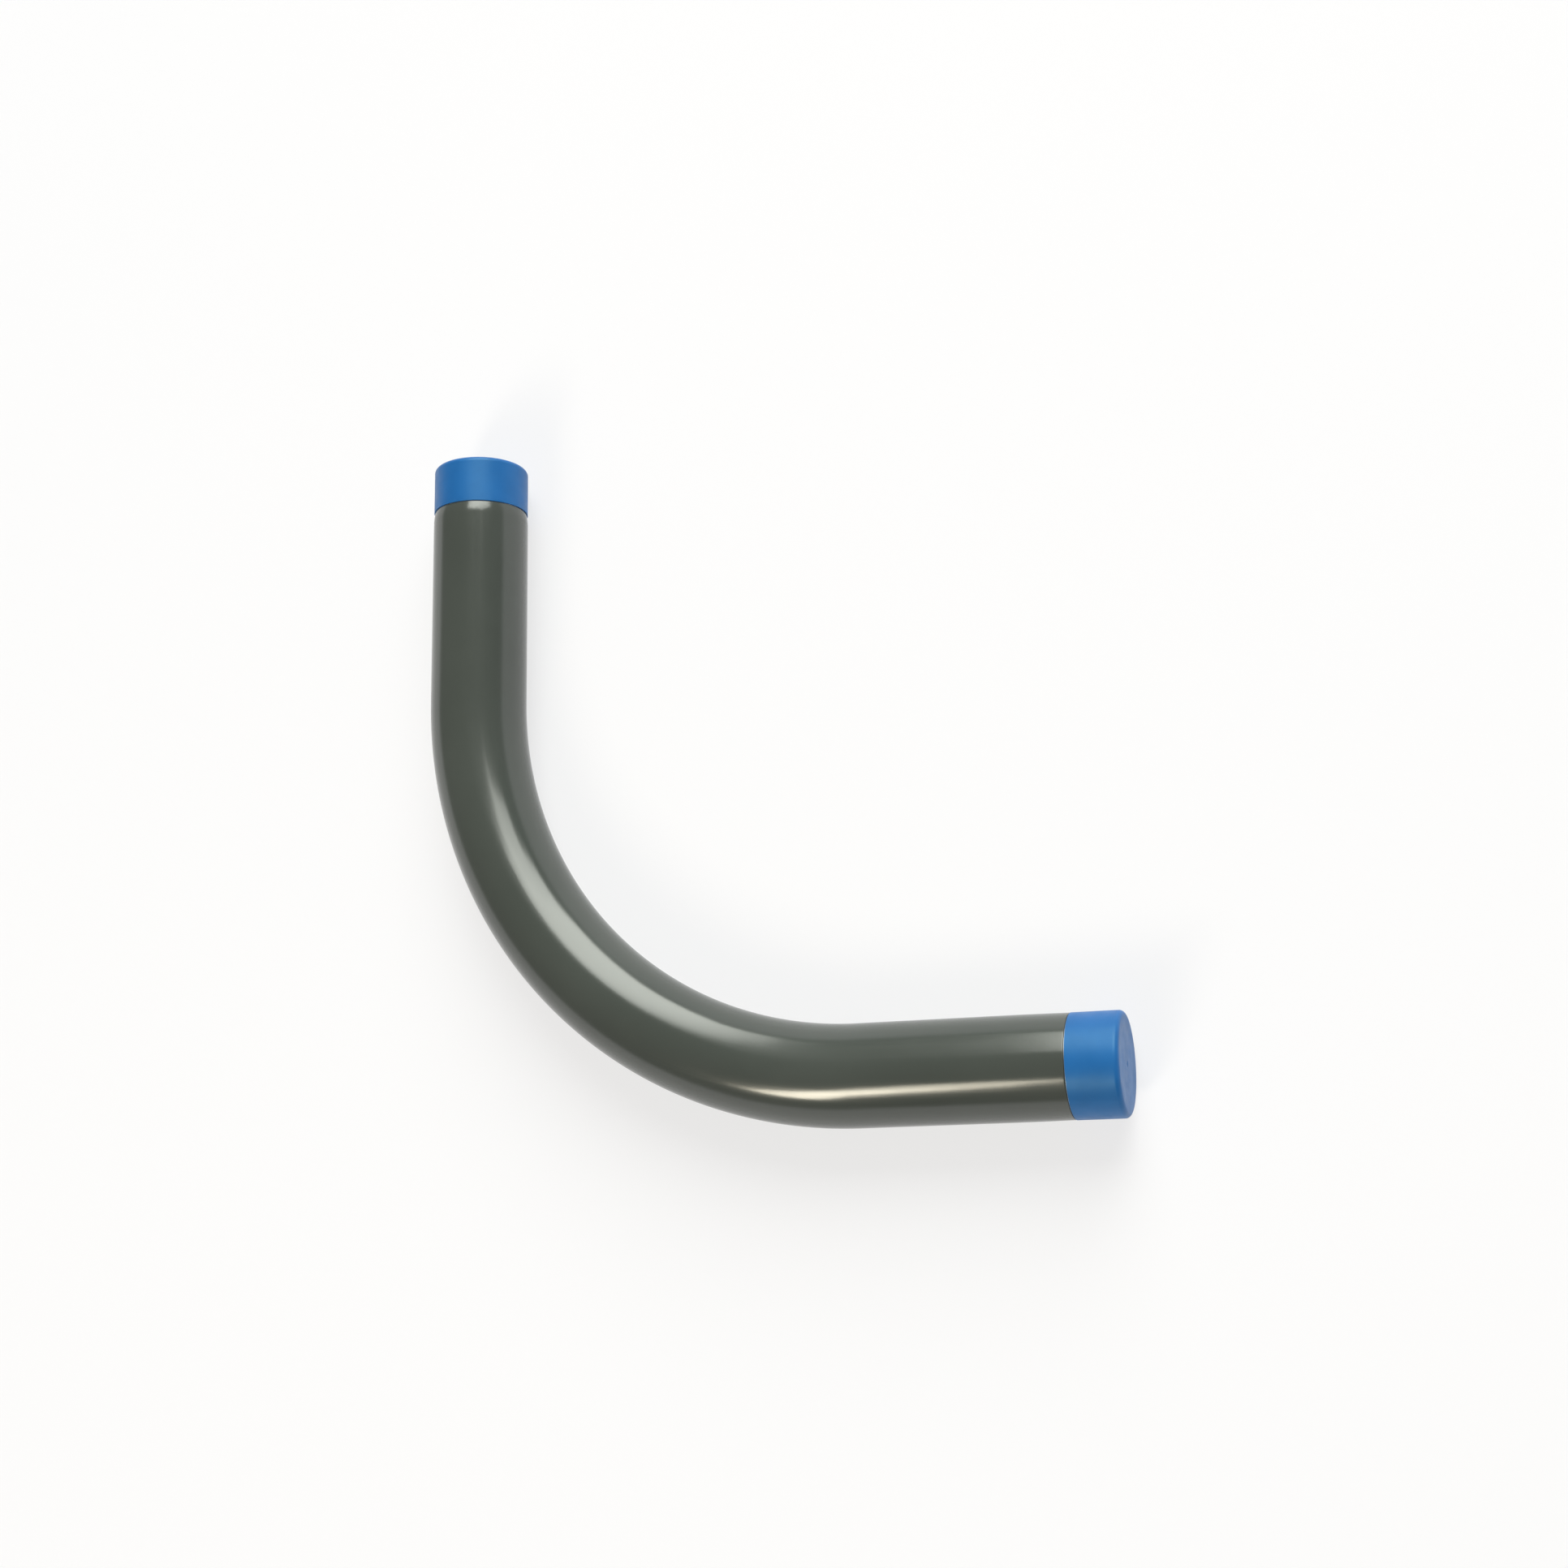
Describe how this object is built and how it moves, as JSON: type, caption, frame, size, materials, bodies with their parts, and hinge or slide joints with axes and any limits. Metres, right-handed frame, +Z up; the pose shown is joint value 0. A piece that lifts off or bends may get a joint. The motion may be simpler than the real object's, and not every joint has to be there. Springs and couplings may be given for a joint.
{
  "type": "conduit elbow",
  "caption": "Plastic-coated rigid steel conduit bend of a quarter turn, with straight legs, threaded ends and closed push-on thread caps.",
  "frame": {"origin": "under the middle of the elbow's box, on the surface it lies on", "axes": "+Z up, square to the plane of the bend; +X along one leg towards its end and +Y along the other"},
  "size_m": [0.4462, 0.4462, 0.0624],
  "materials": {
    "galvanised_steel": "hot-dip galvanised, dull zinc grey",
    "grey_coat": "semi-gloss bonded plastic coat, dark grey",
    "blue_cap": "satin moulded plastic, mid blue"
  },
  "bodies": {
    "root": {"steel_elbow": "galvanised_steel", "plastic_coat": "grey_coat", "thread_cap_x": "blue_cap", "thread_cap_y": "blue_cap"}
  },
  "joints": []
}
